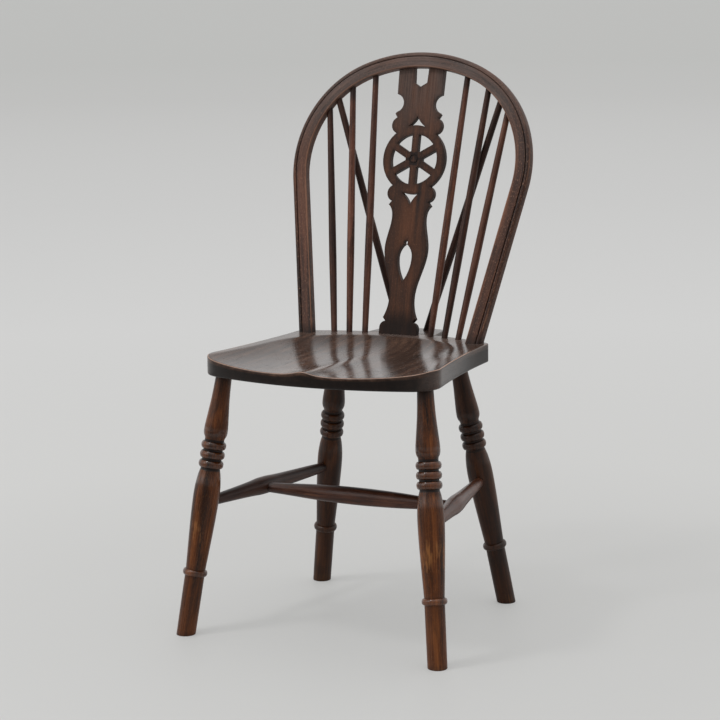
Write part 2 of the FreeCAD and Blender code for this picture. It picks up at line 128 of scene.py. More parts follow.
# Back sticks: the foot on the seat (x, y) and the head on the bow (x, height up its slope).
STICKS = {
    "inner": ((58.8, 113.0), (82.2, 430.4)),
    "middle": ((85.3, 109.1), (121.3, 409.7)),
    "outer": ((111.2, 105.2), (159.0, 373.0)),
}
BRACE = ((24.5, 172.0), (144.6, 391.5))
STICK_END = 4.8
BRACE_END = 5.2
STICK_SWELLING = 6.1

# How dark each stick is with smoke and old polish.
CLEAN = 0.1
SMOKED = {("left", "outer"): 0.75, ("left", "inner"): 0.6,
          ("right", "middle"): 0.72, ("right", "outer"): 0.62, ("right", "inner"): 0.42}
BRACE_SMOKED = 0.8

# The ends of the bow's tenons, as (height from the seat's underside, radius), and their wedges.
TENON_END = [(-0.35, 6.9), (-0.1, 7.7), (0.3, 8.0), (6.0, 8.1)]
WEDGE_SIZE = (11.0, 2.4, 5.0)
WEDGE_RISE = 1.9


class Signal:
    """A value that varies over a surface, written in sums like a number."""

    def __init__(self, recipe, socket):
        self.recipe = recipe
        self.socket = socket

    def _math(self, operation, first, second):
        return self.recipe.node("Math", {"operation": operation}, {0: first, 1: second})

    def __add__(self, other):
        return self._math("ADD", self, other)

    def __radd__(self, other):
        return self._math("ADD", other, self)

    def __sub__(self, other):
        return self._math("SUBTRACT", self, other)

    def __rsub__(self, other):
        return self._math("SUBTRACT", other, self)

    def __mul__(self, other):
        return self._math("MULTIPLY", self, other)

    def __rmul__(self, other):
        return self._math("MULTIPLY", other, self)

    def __truediv__(self, other):
        return self._math("DIVIDE", self, other)

    def __pow__(self, other):
        return self._math("POWER", self, other)

    def clamped(self):
        return self.recipe.node("Clamp", {}, {"Value": self})


class Recipe:
    """The nodes of one finish, added to a node tree."""

    def __init__(self, tree):
        self.tree = tree

    def node(self, kind, settings, sockets, output=0):
        """Any node, from its type, its settings and the values or links of its sockets."""
        made = self.tree.nodes.new("ShaderNode" + kind)
        for key, value in settings.items():
            if key == "stops":
                stops = made.color_ramp.elements
                while len(stops) < len(value):
                    stops.new(0.5)
                for stop, (place, colour) in zip(stops, value):
                    stop.position = place
                    stop.color = colour
            else:
                setattr(made, key, value)
        for key, value in sockets.items():
            if isinstance(value, Signal):
                self.tree.links.new(value.socket, made.inputs[key])
            else:
                made.inputs[key].default_value = value
        return Signal(self, made.outputs[output]) if made.outputs else None

    def marked(self, name, output=2):
        """What mark() wrote on the piece: an amount, or with output 1 a place."""
        return self.node("Attribute", {"attribute_name": name}, {}, output)

    def streaks(self, place, across, along, detail, rough, distort=0.0):
        """Noise drawn out along the grain, with so many waves a metre across and along it."""
        drawn_out = self.node("VectorMath", {"operation": "MULTIPLY"},
                              {0: place, 1: (across, across, along)})
        return self.node("TexNoise", {}, {"Vector": drawn_out, "Scale": 1.0, "Detail": detail,
                                          "Roughness": rough, "Distortion": distort})

    def between(self, value, low, high):
        """0 below low, 1 above high and a soft step between them."""
        return self.node("MapRange", {"interpolation_type": "SMOOTHSTEP"},
                         {"Value": value, "From Min": low, "From Max": high})

    def mixed(self, amount, first, second):
        return self.node("Mix", {"data_type": "RGBA"}, {0: amount, 6: first, 7: second}, 2)


def new_finish(name):
    """A new material and the recipe for its nodes."""
    material = bpy.data.materials.new(name)
    material.use_nodes = True
    material.node_tree.nodes.clear()
    return material, Recipe(material.node_tree)


def paint(red, green, blue):
    """A colour as seen on a screen, 0 to 255, in the shader's linear terms."""
    parts = [c / 255 for c in (red, green, blue)]
    return tuple(c / 12.92 if c < 0.04045 else ((c + 0.055) / 1.055) ** 2.4 for c in parts) + (1.0,)


# The grey of dust and of a painted sheen.
DUST_AND_SHEEN_GREY = paint(112, 98, 92)
GRIME_AND_SHADE_DARKNESS = 0.3
RING_WIDTH = 0.006
PITH_DEPTH = 0.045
GRAIN_RELIEF = 0.0004
WAX_ROUGHNESS = 0.13


def wood(name, colours, rough, figure=1.0, rings=0.0, bruise=0.5, relief=0.25, gloss=1.38,
         patchy=0.5, flecks=0.2):
    """Stained, polished and handled timber, from its dark, middle, light and worn colours.

    The grain runs along the third part of the mark "grain". Where a piece is "rubbed" the
    worn colour shows, where it is marked for grime and painted shade it is near black, where
    it is marked for dust and painted sheen a grey film lies on it, and where it is "waxed" it
    has a second gloss."""
    material, r = new_finish(name)
    dark, middle, light, worn = [paint(*colour) for colour in colours]
    grain = r.marked("grain", 1)
    rubbed, grimy, dusty, waxed = [r.marked(m) for m in ("rubbed", "grimy", "dusty", "waxed")]

    broad = r.streaks(grain, 60.0, 3.0, 3.0, 0.6, 0.4)
    fibre = r.streaks(grain, 420.0, 11.0, 4.0, 0.65)
    cloud = r.streaks(grain, 14.0, 14.0, 3.0, 0.6)
    pores = r.between(r.streaks(grain, 1250.0, 42.0, 2.0, 0.5), 0.6, 0.72)
    blotch = r.streaks(grain, 38.0, 15.0, 4.0, 0.65)
    stain = r.between(r.streaks(grain, 30.0, 7.0, 4.0, 0.7, 0.5), 0.5, 0.66)
    speck = r.between(r.streaks(grain, 900.0, 260.0, 2.0, 0.6), 0.56, 0.7)
    fibre_swing = fibre - 0.5
    cloud_swing = cloud - 0.5
    blotch_swing = blotch - 0.5

    tone = 0.5 + (broad - 0.5) * (1.7 * figure) + fibre_swing * figure
    if rings:
        across = r.node("SeparateXYZ", {}, {0: grain}, 0)
        depth = r.node("SeparateXYZ", {}, {0: grain}, 1) + PITH_DEPTH
        radius = (across * across * 0.6 + depth * depth) ** 0.5
        turns = radius / RING_WIDTH + r.streaks(grain, 9.0, 3.0, 2.0, 0.55) * 5.0
        band = r.node("Math", {"operation": "PINGPONG"}, {0: turns, 1: 1.0})
        tone = tone + (band - 0.5) * rings
    tone = (tone + cloud_swing * 0.5).clamped()
    colour = r.node("ValToRGB", {"stops": [(0.12, dark), (0.5, middle), (0.88, light)]}, {"Fac": tone})
    colour = r.mixed(stain * patchy, colour, dark)
    colour = r.mixed(pores * 0.6, colour, dark)
    colour = r.mixed(speck * flecks, colour, worn)

    handled = r.between(rubbed + blotch_swing * 1.1 + fibre_swing * 0.7, 0.55, 0.8)
    colour = r.mixed(handled * bruise, colour, worn)
    # Grime and painted shade: where marked, the colour goes towards near black.
    grime_and_shade_amount = r.between(grimy + blotch_swing * 0.5, 0.25, 0.95)
    near_black = tuple(c * GRIME_AND_SHADE_DARKNESS for c in dark[:3]) + (1.0,)
    colour = r.mixed(grime_and_shade_amount * 0.88, colour, near_black)
    # Dust and painted sheen: a grey film laid over the colour where marked.
    film = (dusty * (0.55 + fibre_swing * 1.6 + blotch_swing)).clamped()
    colour = r.mixed(film, colour, DUST_AND_SHEEN_GREY)

    low, high = rough
    shine = low + (high - low) * (0.5 + cloud_swing * 1.2 + fibre_swing * 0.8)
    shine = (shine + pores * 0.12 + handled * 0.05 + grime_and_shade_amount * 0.15 + dusty * 0.1).clamped()
    height = fibre * 0.5 - pores * 0.5 + blotch * 0.3
    bump = r.node("Bump", {}, {"Strength": relief, "Distance": GRAIN_RELIEF, "Height": height})
    shader = r.node("BsdfPrincipled", {}, {
        "Base Color": colour, "Roughness": shine, "Normal": bump, "IOR": gloss,
        "Coat Weight": waxed, "Coat Roughness": WAX_ROUGHNESS})
    r.node("OutputMaterial", {}, {"Surface": shader})
    return material


def start_piece(points):
    """A closed ring of so many points, in edit mode with all of it selected."""
    bpy.ops.object.select_all(action="DESELECT")
    bpy.ops.mesh.primitive_circle_add(vertices=points, radius=1.0, fill_type="NOTHING")
    edit_all()
    return bpy.context.object


def edit_all():
    """Go into edit mode on the active piece, with all of it selected."""
    bpy.ops.object.mode_set(mode="EDIT")
    bpy.ops.mesh.select_all(action="SELECT")


def place_selected(piece, places):
    """Move the selected points, in the order of their making, to given places."""
    mesh = bmesh.from_edit_mesh(piece.data)
    chosen = sorted((v for v in mesh.verts if v.select), key=lambda v: v.index)
    for vertex, place in zip(chosen, places):
        vertex.co = place
    bmesh.update_edit_mesh(piece.data)


def close_up(gap=0.002):
    """Merge doubled points and turn every face outwards; leaves edit mode."""
    bpy.ops.mesh.select_all(action="SELECT")
    bpy.ops.mesh.remove_doubles(threshold=gap)
    bpy.ops.mesh.normals_make_consistent(inside=False)
    bpy.ops.object.mode_set(mode="OBJECT")


def only(piece):
    """Select this piece alone and make it the active one."""
    bpy.ops.object.select_all(action="DESELECT")
    piece.select_set(True)
    bpy.context.view_layer.objects.active = piece


def mark(piece, **rules):
    """Write named values at each point of a piece, fixed or worked out from its place.

    The grain is a place in the plank, in metres, and all other marks are amounts."""
    for name, rule in rules.items():
        kind, field = ("FLOAT_VECTOR", "vector") if name == "grain" else ("FLOAT", "value")
        layer = piece.data.attributes.new(name, kind, "POINT")
        for item, vertex in zip(layer.data, piece.data.vertices):
            setattr(item, field, rule(vertex.co) if callable(rule) else rule)


def put(piece, placement):
    """Give a piece its place and bring it to metres, all in its mesh."""
    only(piece)
    piece.matrix_world = Matrix.Scale(MM, 4) @ placement @ piece.matrix_world
    bpy.ops.object.transform_apply(location=True, rotation=True, scale=True)


def hand_over(piece, name, material, slot, *nodes, angle=35.0, even=False):
    """Name a finished piece, give it its finish and let it stand for its CAD nodes."""
    only(piece)
    piece.name = name
    piece.data.name = name
    bpy.ops.object.shade_smooth_by_angle(angle=math.radians(angle))
    if even:
        flats = piece.modifiers.new("flats", "WEIGHTED_NORMAL")
        flats.keep_sharp = True
        bpy.ops.object.modifier_apply(modifier="flats")
    piece.data.materials.clear()
    piece.data.materials.append(material)
    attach(piece, "root")
    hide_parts(*nodes)


def aimed(start, end):
    """The placement of a piece made along Z that runs from one point towards another."""
    turn = Vector((0, 0, 1)).rotation_difference(end - start)
    return Matrix.Translation(start) @ turn.to_matrix().to_4x4()


def smooth_step(low, high, value):
    """0 up to low, 1 from high on, and a soft step between; low may be above high."""
    t = min(1.0, max(0.0, (value - low) / (high - low)))
    return t * t * (3 - 2 * t)


def hump(value, middle, width):
    """1 at the middle, falling softly to nothing about two widths away."""
    return math.exp(-((value - middle) / width) ** 2)


def place_in_plank():
    """Each piece is cut from its own place in the timber."""
    return Vector([random.uniform(-3, 3) for _ in range(3)])


class Outline:
    """Half outline of a turned piece: places along its axis and radii."""

    def __init__(self, station, radius):
        self.points = [(station, radius)]

    def flow(self, *knots):
        """A fair line through the knots, from where the outline has got to."""
        line = [self.points[-1]] + list(knots)
        slopes = [(b[1] - a[1]) / (b[0] - a[0]) for a, b in zip(line, line[1:])]
        ends = [slopes[0]] + [(p + q) / 2 if p * q > 0 else 0.0 for p, q in zip(slopes, slopes[1:])]
        ends.append(slopes[-1])
        for i, (a, b) in enumerate(zip(line, line[1:])):
            span = b[0] - a[0]
            steps = max(2, int(span / 5))
            for k in range(1, steps + 1):
                t = k / steps
                radius = (a[1] * (1 + 2 * t) * (1 - t) ** 2 + b[1] * t * t * (3 - 2 * t)
                          + span * (ends[i] * t * (1 - t) ** 2 - ends[i + 1] * t * t * (1 - t)))
                self.points.append((a[0] + span * t, radius))

    def bead(self, width, rise, steps=12):
        station, radius = self.points[-1]
        for k in range(1, steps + 1):
            turn = math.pi * k / steps
            self.points.append((station + width * (1 - math.cos(turn)) / 2,
                                radius + rise * math.sin(turn) ** 0.8))

    def plain(self, width):
        station, radius = self.points[-1]
        self.points.append((station + width, radius))


def turn_on_lathe(outline, sides):
    """Draw the half outline point by point from the axis and spin it round Z."""
    path = [(outline[0][0], 0.0)] + outline + [(outline[-1][0], 0.0)]
    piece = start_piece(3)
    bpy.ops.mesh.merge(type="CENTER")
    place_selected(piece, [Vector((path[0][1], 0, path[0][0]))])
    for before, after in zip(path, path[1:]):
        step = (after[1] - before[1], 0, after[0] - before[0])
        bpy.ops.mesh.extrude_region_move(TRANSFORM_OT_translate={"value": step})
    bpy.ops.mesh.select_all(action="SELECT")
    bpy.ops.mesh.spin(steps=sides, angle=2 * math.pi, center=(0, 0, 0), axis=(0, 0, 1))
    close_up()
    shift = place_in_plank()
    mark(piece, grain=lambda co: co * MM + shift)
    return piece


def leg_outline(stretch):
    """A leg from below the floor to inside the seat: foot, ring, vase, three beads and taper."""
    shoulder = SEAT_UNDER * stretch
    line = Outline(-10.0, 15.0)
    line.plain(17.0)
    line.flow(*LEG_FOOT)
    line.bead(*FOOT_RING)
    line.flow(*LEG_VASE)
    line.plain(2.2)
    for _ in range(3):
        line.bead(*BEAD)
        line.plain(BEAD_GAP)
    line.flow(*LEG_TAPER, (shoulder, 12.3), (shoulder + 9, 12.0))
    return line.points


def make_leg(end, side_name, material):
    """A turned leg, leaning from its foot into the seat and cut level with the floor."""
    foot, splay = LEGS[end]
    side = SIDES[side_name]
    start = Vector((side * foot[0], foot[1], 0))
    direction = Vector((side * splay[0], splay[1], 1.0))
    leg = turn_on_lathe(leg_outline(direction.length), sides=48)
    front = end == "front"
    vase_wear = {"left": 0.52, "right": 0.7}[side_name] if front else 0.32
    # The back legs are darkened all over as painted shade.
    grime_and_shade_all_over = 0.12 if front else 0.7
    crest_wax = 0.6 if front else 0.2

    def rubbed(co):
        radius = math.hypot(co.x, co.y)
        crests = max(hump(co.z, z, 3.5) for z in (FOOT_RING_MIDDLE,) + BEAD_MIDDLES)
        crests *= 0.35 * smooth_step(17.5, 19.2, radius)
        vase = vase_wear * hump(co.z, 165, 45)
        sole = 0.6 * hump(co.z, -6, 45)
        return max(crests, vase, sole, 0.3)

    # Painted shade with some grime: near black in the grooves between the beads and beside the foot ring, at
    # the top of the leg under the seat and in a thin band at the floor; the foot below its ring is darker.
    def grimy(co):
        radius = math.hypot(co.x, co.y)
        beads = 0.3 + 0.8 * smooth_step(18.2, 16.2, radius) if 262 < co.z < 311 else 0.0
        foot_ring = 0.7 * hump(co.z, 92.5, 2.6) + 0.7 * hump(co.z, 106.5, 3)
        under_seat = 0.9 * smooth_step(372, 425, co.z)
        foot = max(0.42 * smooth_step(94, 88, co.z), 0.8 * smooth_step(7, 2, co.z))
        return max(beads, foot_ring, under_seat, foot, grime_and_shade_all_over)

    def waxed(co):
        turned_proud = 240 < co.z < 330 or 92 < co.z < 107
        return crest_wax * smooth_step(16.8, 18.6, math.hypot(co.x, co.y)) if turned_proud else 0.0

    mark(leg, rubbed=rubbed, grimy=grimy, waxed=waxed)
    put(leg, aimed(start, start + direction))
    edit_all()
    bpy.ops.mesh.bisect(plane_co=(0, 0, 0), plane_no=(0, 0, 1), use_fill=True, clear_inner=True,
                        threshold=1e-6)
    bpy.ops.mesh.bevel(offset=1.3 * MM, segments=3, affect="EDGES")
    close_up(0.002 * MM)
    hand_over(leg, "turned_leg_%s_%s" % (end, side_name), material, "leg_wood",
              "leg_%s_%s" % (end, side_name))


def leg_centre(end, side, height):
    """The point on a leg's axis at a height."""
    foot, splay = LEGS[end]
    return Vector((side * (foot[0] + splay[0] * height), foot[1] + splay[1] * height, height))


def near_ends(z, length, clear, buried):
    """1 at both ends of a stretcher, 0 once clear of them."""
    return max(smooth_step(clear, buried, z), smooth_step(length - clear, length - buried, z))


def make_stretchers(material):
    """The two side stretchers between the legs, and the cross stretcher between those."""
    middles = {}
    for side_name, side in SIDES.items():
        front = leg_centre("front", side, STRETCHER_HEIGHT)
        back = leg_centre("back", side, STRETCHER_HEIGHT)
        length = (back - front).length
        middle = CROSS_POSITION * length
        line = Outline(6.0, STRETCHER_END)
        line.flow((40.0, 8.9), *[(middle + run, radius) for run, radius in SIDE_SWELLING],
                  (length - 40, 8.9), (length - 6, STRETCHER_END))
        rail = turn_on_lathe(line.points, sides=36)
        # The left side stretcher is darkened all over as painted shade.
        grime_and_shade_all_over = {"left": 0.6, "right": 0.15}[side_name]
        mark(rail, rubbed=0.4, grimy=lambda co: max(0.75 * near_ends(co.z, length, 40, 14), grime_and_shade_all_over))
        put(rail, aimed(front, back))
        hand_over(rail, "turned_side_stretcher_" + side_name, material, "stretcher_wood",
                  "side_stretcher_" + side_name)
        middles[side_name] = front + (back - front) * CROSS_POSITION - Vector((0, 0, CROSS_DROP))
    length = (middles["right"] - middles["left"]).length
    line = Outline(2.0, STRETCHER_END)
    line.flow((40.0, 9.3), (length * 0.3, 12.6), (length * 0.5, 14.1), (length * 0.7, 12.6),
              (length - 40, 9.3), (length - 2, STRETCHER_END))
    rail = turn_on_lathe(line.points, sides=36)
    mark(rail, rubbed=0.45, grimy=lambda co: 0.75 * near_ends(co.z, length, 28, 10))
    put(rail, aimed(middles["left"], middles["right"]))
    hand_over(rail, "turned_cross_stretcher", material, "stretcher_wood", "cross_stretcher")


def on_bow(x, height, depth):
    """A point on the bow: across, up its slope, and back from its front face."""
    return Vector((
        x,
        BOW_FOOT_Y + height * math.sin(BOW_RAKE) + depth * math.cos(BOW_RAKE),
        SEAT_TOP + height * math.cos(BOW_RAKE) - depth * math.sin(BOW_RAKE)))


def make_stick(name, side, foot, top, end_radius, smoke, material):
    """A stick from the seat or the bobtail into the middle of the bow's underside."""
    start = Vector((side * foot[0], foot[1], SEAT_TOP))
    end = on_bow(side * top[0], top[1], BOW_DEPTH / 2)
    length = (end - start).length
    between = (end_radius + STICK_SWELLING) / 2
    line = Outline(-8.0, end_radius)
    line.flow((length * 0.14, between), (length * 0.36, STICK_SWELLING), (length * 0.7, between),
              (length + 5, end_radius))
    stick = turn_on_lathe(line.points, sides=24)
    mark(stick, rubbed=0.4, grimy=lambda co: max(
        0.8 * smooth_step(45, 0, co.z), 0.8 * smooth_step(length - 40, length - 5, co.z), smoke))
    put(stick, aimed(start, end))
    hand_over(stick, "turned_" + name, material, "stick_wood", name)


def corner_arc(centre_x, centre_y, radius, start, end, steps):
    return [(centre_x + radius * math.cos(start + (end - start) * k / steps),
             centre_y + radius * math.sin(start + (end - start) * k / steps)) for k in range(steps + 1)]


def bow_section():
    """Loop of (out from the middle, back from the front face): flat face, quirk, bead, round back."""
    half = BOW_WIDTH / 2
    loop = corner_arc(INNER_ARRIS - half, INNER_ARRIS, INNER_ARRIS, math.pi, 1.5 * math.pi, 4)
    loop += [(5 - half, 0.0), (-2.0, 0.0)]
    loop += [(half - QUIRK_INSET + out, back) for out, back in QUIRK]
    loop += [(half + out, back) for out, back in BOW_BEAD]
    back_radius = (half ** 2 + BACK_ROUND ** 2) / (2 * BACK_ROUND)
    turn = math.acos(half / back_radius)
    loop += corner_arc(0.0, BOW_DEPTH - back_radius, back_radius, turn, math.pi - turn, 16)
    return loop


def bow_line():
    """The sizes that fix the bow's centre line: shoulder radius, its centre and the leg's length."""
    joint_x = CROWN_RADIUS * math.cos(CROWN_ANGLE)
    joint_height = BOW_RISE - CROWN_RADIUS + CROWN_RADIUS * math.sin(CROWN_ANGLE)
    shoulder = (BOW_HALF_SPAN - joint_x) / (1 - math.cos(CROWN_ANGLE))
    centre_x = joint_x - shoulder * math.cos(CROWN_ANGLE)
    centre_height = joint_height - shoulder * math.sin(CROWN_ANGLE)
    leg = centre_height / math.cos(BOW_LEAN) - shoulder * math.tan(BOW_LEAN)
    return shoulder, centre_x, centre_height, leg


SHOULDER_RADIUS, SHOULDER_X, SHOULDER_HEIGHT, BOW_LEG = bow_line()
CROWN_HEIGHT = BOW_RISE - CROWN_RADIUS


def bow_place(x, height):
    """(distance along the bow from its crown, distance out from its centre line)."""
    side = 1 if x >= 0 else -1
    x = abs(x)
    crown_run = CROWN_RADIUS * (math.pi / 2 - CROWN_ANGLE)
    angle = math.atan2(height - CROWN_HEIGHT, x)
    if angle >= CROWN_ANGLE:
        along = CROWN_RADIUS * (math.pi / 2 - angle)
        return side * along, math.hypot(x, height - CROWN_HEIGHT) - CROWN_RADIUS
    dx = x - SHOULDER_X
    dz = height - SHOULDER_HEIGHT
    angle = math.atan2(dz, dx)
    if angle >= -BOW_LEAN:
        along = crown_run + SHOULDER_RADIUS * (CROWN_ANGLE - angle)
        return side * along, math.hypot(dx, dz) - SHOULDER_RADIUS
    run = crown_run + SHOULDER_RADIUS * (CROWN_ANGLE + BOW_LEAN)
    along = -dx * math.sin(BOW_LEAN) - dz * math.cos(BOW_LEAN)
    out = dx * math.cos(BOW_LEAN) - dz * math.sin(BOW_LEAN) - SHOULDER_RADIUS
    return side * (run + along), out


def make_bow(material):
    """Carry the section up one leg, round shoulder, crown and shoulder, and down the other leg.

    Gives the middle of the right foot on the seat and the direction of its leg."""
    section = bow_section()
    bow = start_piece(len(section))
    lean_out = Vector((math.cos(BOW_LEAN), 0, -math.sin(BOW_LEAN)))
    down = Vector((-math.sin(BOW_LEAN), 0, -math.cos(BOW_LEAN)))
    down_left = Vector((-down.x, 0, down.z))
    reach = BOW_LEG + 10
    middle = Vector((SHOULDER_X, 0, SHOULDER_HEIGHT)) + lean_out * SHOULDER_RADIUS + down * reach
    place_selected(bow, [middle + lean_out * out + Vector((0, back, 0)) for out, back in section])
    for _ in range(BOW_LEG_STEPS):
        bpy.ops.mesh.extrude_edges_move(
            TRANSFORM_OT_translate={"value": tuple(-down * reach / BOW_LEG_STEPS)})
    shoulder_angle = CROWN_ANGLE + BOW_LEAN
    for x, z, angle, steps in ((SHOULDER_X, SHOULDER_HEIGHT, shoulder_angle, SHOULDER_STEPS),
                               (0.0, CROWN_HEIGHT, math.pi - 2 * CROWN_ANGLE, CROWN_STEPS),
                               (-SHOULDER_X, SHOULDER_HEIGHT, shoulder_angle, SHOULDER_STEPS)):
        bpy.ops.mesh.spin(steps=steps, angle=angle, center=(x, 0, z), axis=(0, 1, 0))
    for _ in range(BOW_LEG_STEPS):
        bpy.ops.mesh.extrude_edges_move(
            TRANSFORM_OT_translate={"value": tuple(down_left * reach / BOW_LEG_STEPS)})
    bpy.ops.mesh.edge_face_add()
    close_up()
    edit_all()
    bpy.ops.mesh.select_all(action="DESELECT")
    bpy.ops.mesh.select_non_manifold()
    bpy.ops.mesh.edge_face_add()
    close_up()
    shift = place_in_plank()

    def grain(co):
        along, out = bow_place(co.x, co.z)
        return Vector((out, co.y, along)) * MM + shift

    def rubbed(co):
        _, out = bow_place(co.x, co.z)
        inner_arris = 1.3 * hump(out, 0.7 - BOW_WIDTH / 2, 1.1) * hump(co.y, 0.7, 1.6)
        outer_arris = 0.6 * hump(out, BOW_WIDTH / 2 - 1.4, 1.8) * hump(co.y, 1.6, 2.4)
        return max(inner_arris, outer_arris, 0.3)

    def grimy(co):
        _, out = bow_place(co.x, co.z)
        in_quirk = hump(out, BOW_WIDTH / 2 - QUIRK_INSET, 0.8) * smooth_step(0.3, 1.3, co.y)
        foot = 0.8 * smooth_step(34, 0, co.z)
        return max(0.9 * in_quirk if co.y < 4 else 0.0, foot, 0.25 * smooth_step(10, 19, co.y))

    # The grey film on the front face, growing towards the crown, is dust and a painted sheen.
    def dusty(co):
        return 0.02 + 0.62 * smooth_step(250, 430, co.z) if co.y < 6 else 0.05

    mark(bow, dusty=dusty, grain=grain, rubbed=rubbed, grimy=grimy)
    put(bow, Matrix.Translation((0, BOW_FOOT_Y, SEAT_TOP)) @ Matrix.Rotation(-BOW_RAKE, 4, "X"))
    hand_over(bow, "bent_bow", material, "bow_wood", "bow")
    foot_x = SHOULDER_X + SHOULDER_RADIUS / math.cos(BOW_LEAN) - SHOULDER_HEIGHT * math.tan(BOW_LEAN)
    foot = on_bow(foot_x, 0, BOW_DEPTH / 2)
    return foot, Vector((down.x, down.z * math.sin(BOW_RAKE), down.z * math.cos(BOW_RAKE)))


def eased_copy(node, width, segments=2):
    """A copy of a CAD node with its flat faces joined up and its arrises eased."""
    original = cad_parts[node]
    piece = original.copy()
    piece.data = original.data.copy()
    for key in list(piece.keys()):
        del piece[key]
    piece.parent = None
    bpy.context.scene.collection.objects.link(piece)
    only(piece)
    edit_all()
    bpy.ops.mesh.remove_doubles(threshold=1e-6)
    bpy.ops.mesh.dissolve_limited(angle_limit=math.radians(1.0))
    bpy.ops.object.mode_set(mode="OBJECT")
    bevel = piece.modifiers.new("eased", "BEVEL")
    bevel.width = width * MM
    bevel.segments = segments
    bevel.limit_method = "ANGLE"
    bevel.angle_limit = math.radians(40)
    bevel.use_clamp_overlap = False
    bpy.ops.object.modifier_apply(modifier="eased")
    return piece


def divide(piece, place, direction, spacing, count):
    """Cut a piece's faces along evenly spaced planes, so that its marks follow its shape."""
    only(piece)
    edit_all()
    bpy.ops.mesh.quads_convert_to_tris()
    for k in range(count):
        bpy.ops.mesh.select_all(action="SELECT")
        bpy.ops.mesh.bisect(plane_co=place + direction * spacing * k, plane_no=direction, threshold=1e-6)
    bpy.ops.object.mode_set(mode="OBJECT")


def make_splat(material):
    """The fretted board, with its marks worked out up its face and in from its edges."""
    splat = eased_copy("splat", 0.35)
    front = Vector((0, -math.cos(SPLAT_RAKE), math.sin(SPLAT_RAKE)))
    up = Vector((0, math.sin(SPLAT_RAKE), math.cos(SPLAT_RAKE)))
    root = Vector((0, SPLAT_FOOT_Y, SEAT_TOP)) * MM
    divide(splat, root + up * (4 * MM), up, 8 * MM, 56)
    divide(splat, root - Vector((SPLAT_HALF_WIDTH * MM, 0, 0)), Vector((1, 0, 0)), 7.5 * MM, 15)
    inside = 0.3
    edge_places = [v.co for v in splat.data.vertices
                   if inside < -(v.co - root).dot(front) / MM < SPLAT_THICKNESS - inside]
    edges = KDTree(len(edge_places))
    for i, place in enumerate(edge_places):
        edges.insert(place, i)
    edges.balance()

    def from_edge(co):
        return edges.find(co)[2] / MM

    def up_face(co):
        return (co - root).dot(up) / MM

    def grain(co):
        p = co - root
        return Vector((p.x + 0.7, -p.dot(front) + 0.4, p.dot(up)))

    def rubbed(co):
        middle = hump(co.x / MM, 0, 16)
        return (0.3 + 0.18 * middle * smooth_step(20, 60, up_face(co))
                - 0.25 * smooth_step(5, 1, from_edge(co)))

    def grimy(co):
        height = up_face(co)
        foot = 0.85 * smooth_step(70, 12, height)
        fork = 0.55 * smooth_step(432, 446, height)
        rim = 0.34 + 0.3 * smooth_step(7, 0.6, from_edge(co))
        from_hub = math.hypot(co.x / MM, height - WHEEL_HEIGHT)
        scribed = 1.2 if HUB_LINE[0] < from_hub < HUB_LINE[1] else 0.0
        return max(foot, fork, rim, scribed)

    # The grey film growing up towards the top of the face is dust and a painted sheen.
    mark(splat, grain=grain, rubbed=rubbed, grimy=grimy,
         dusty=lambda co: 0.5 * smooth_step(290, 420, up_face(co)))
    hand_over(splat, "fretted_splat", material, "splat_wood", "splat", angle=30, even=True)


def make_tail(material):
    """The bobtail behind the seat, darker below its top."""
    tail = eased_copy("tail_block", 1.6, 3)
    mark(tail, grain=lambda co: Vector((co.x + 1.3, co.z - 0.43, co.y)), rubbed=0.35, dusty=0.12,
         grimy=lambda co: 0.3 + 0.4 * smooth_step(SEAT_TOP - 1, SEAT_TOP - 10, co.z / MM))
    hand_over(tail, "bobtail_block", material, "seat_wood", "tail_block", angle=30, even=True)


def make_peg_ends(foot, axis, bow_material, wedge_material):
    """The ends of the bow's round tenons under the seat, each spread by a wedge."""
    below = foot + axis * ((foot.z - SEAT_UNDER) / -axis.z)
    for side_name, side in SIDES.items():
        end = Vector((side * below.x, below.y, SEAT_UNDER))
        peg = turn_on_lathe(TENON_END, sides=32)
        mark(peg, rubbed=0.5, grimy=0.5)
        put(peg, Matrix.Translation(end))
        hand_over(peg, "bow_tenon_end_" + side_name, bow_material, "bow_wood")
        bpy.ops.object.select_all(action="DESELECT")
        bpy.ops.mesh.primitive_cube_add(size=1.0)
        wedge = bpy.context.object
        bpy.ops.object.mode_set(mode="EDIT")
        bpy.ops.transform.resize(value=WEDGE_SIZE)
        bpy.ops.mesh.bevel(offset=0.25, segments=2, affect="EDGES")
        close_up()
        shift = place_in_plank()
        mark(wedge, grain=lambda co: co * MM + shift, rubbed=0.6, grimy=0.2)
        put(wedge, Matrix.Translation(end + Vector((0, 0, WEDGE_RISE))))
        hand_over(wedge, "driven_wedge_" + side_name, wedge_material, "wedge_wood", "bow_wedge_" + side_name)


def circle_through(a, b, c):
    """Centre and radius of the circle through three points of the plan."""
    ax, ay = a
    bx, by = b
    cx, cy = c
    d = 2 * (ax * (by - cy) + bx * (cy - ay) + cx * (ay - by))
    a_square, b_square, c_square = ax * ax + ay * ay, bx * bx + by * by, cx * cx + cy * cy
    x = (a_square * (by - cy) + b_square * (cy - ay) + c_square * (ay - by)) / d
    y = (a_square * (cx - bx) + b_square * (ax - cx) + c_square * (bx - ax)) / d
    return Vector((x, y)), math.hypot(ax - x, ay - y)


def rounding_centre(first, first_reach, second, second_reach, near):
    """Where circles of two reaches about two centres meet, next to a given point."""
    gap = (second - first).length
    along = (gap * gap + first_reach ** 2 - second_reach ** 2) / (2 * gap)
    off = math.sqrt(first_reach ** 2 - along ** 2)
    direction = (second - first) / gap
    sideways = Vector((-direction.y, direction.x))
    choices = [first + direction * along + sideways * off, first + direction * along - sideways * off]
    return min(choices, key=lambda p: (p - Vector(near)).length)


def arc_points(centre, radius, start, end, steps):
    """Points of the shorter arc between two points of a circle."""
    a = math.atan2(start.y - centre.y, start.x - centre.x)
    b = math.atan2(end.y - centre.y, end.x - centre.x)
    turn = (b - a + math.pi) % (2 * math.pi) - math.pi
    return [centre + radius * Vector((math.cos(a + turn * k / steps), math.sin(a + turn * k / steps)))
            for k in range(steps + 1)]


